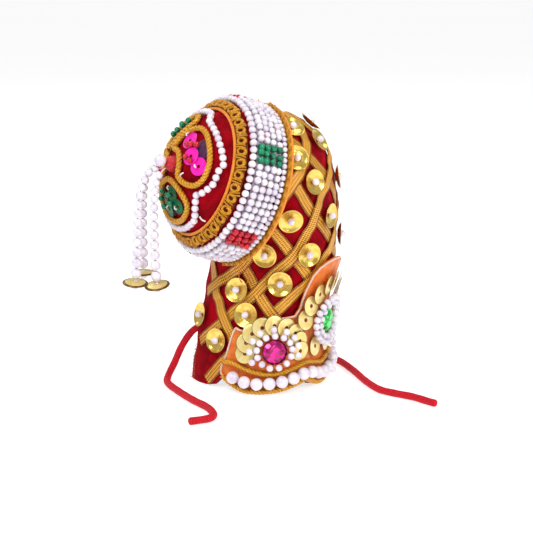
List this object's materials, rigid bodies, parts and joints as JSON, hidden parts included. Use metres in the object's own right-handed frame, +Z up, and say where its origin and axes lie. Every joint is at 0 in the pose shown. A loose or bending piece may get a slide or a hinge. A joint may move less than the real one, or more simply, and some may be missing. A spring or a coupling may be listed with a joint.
{
  "type": "deity crown",
  "caption": "Hooded velvet crown for a temple figure, with gold ribbon lattice, beaded tiara, pearl-ringed hair bun, bead tassel and two tie cords.",
  "frame": {"origin": "centre of the head opening, on the level of the surface that the rim stands on", "axes": "+Z up to the crest of the cap; the tiara faces -Y; the bun is at the back on the wearer's right, towards -X and +Y"},
  "size_m": [0.1134, 0.1205, 0.1176],
  "materials": {
    "velvet": "deep red velvet",
    "gold_ribbon": "woven metallic ribbon",
    "gold_sequin": "metallised, shiny",
    "pearl": "pearly",
    "satin": "orange satin",
    "gold_cord": "twisted metallic cord",
    "pink_stone": "cut, clear, foil backed",
    "green_stone": "cut, clear, foil backed",
    "green_bead": "glossy",
    "red_bead": "glossy, slightly clear",
    "pink_paillette": "satin",
    "green_paillette": "satin",
    "red_floss": "matte floss",
    "red_cord": "wrapped cord",
    "white_thread": "thread"
  },
  "bodies": {
    "root": {"cap": "velvet", "ribbons_rising_right": "gold_ribbon", "ribbons_rising_left": "gold_ribbon", "cap_sequins": "gold_sequin", "cap_sequin_pearls": "pearl", "tiara_band": "satin", "tiara_cord_upper": "gold_cord", "tiara_cord_lower": "gold_cord", "tiara_large_pearls": "pearl", "fan_sequins_right": "gold_sequin", "fan_sequins_centre": "gold_sequin", "fan_sequins_left": "gold_sequin", "pearl_ring_right": "pearl", "pearl_ring_centre": "pearl", "pearl_ring_left": "pearl", "pink_stone_right": "pink_stone", "green_stone": "green_stone", "pink_stone_left": "pink_stone", "bun": "velvet", "bun_face_braid": "gold_cord", "bun_back_braid": "gold_cord", "garland_front_row": "pearl", "garland_back_row": "pearl", "garland_pearls": "pearl", "garland_green_beads": "green_bead", "garland_red_beads": "red_bead", "petal_cords": "gold_cord", "pink_paillettes": "pink_paillette", "green_paillettes": "green_paillette", "face_pearl_string": "pearl", "tuft": "red_floss", "tuft_pearl": "pearl", "tassel_strand_1": "pearl", "tassel_strand_2": "pearl", "tassel_strand_3": "pearl", "tassel_thread_1": "white_thread", "tassel_thread_2": "white_thread", "tassel_thread_3": "white_thread", "tassel_sequins": "gold_sequin", "tassel_end_pearls": "pearl", "tie_right": "red_cord", "tie_left": "red_cord"}
  },
  "joints": []
}
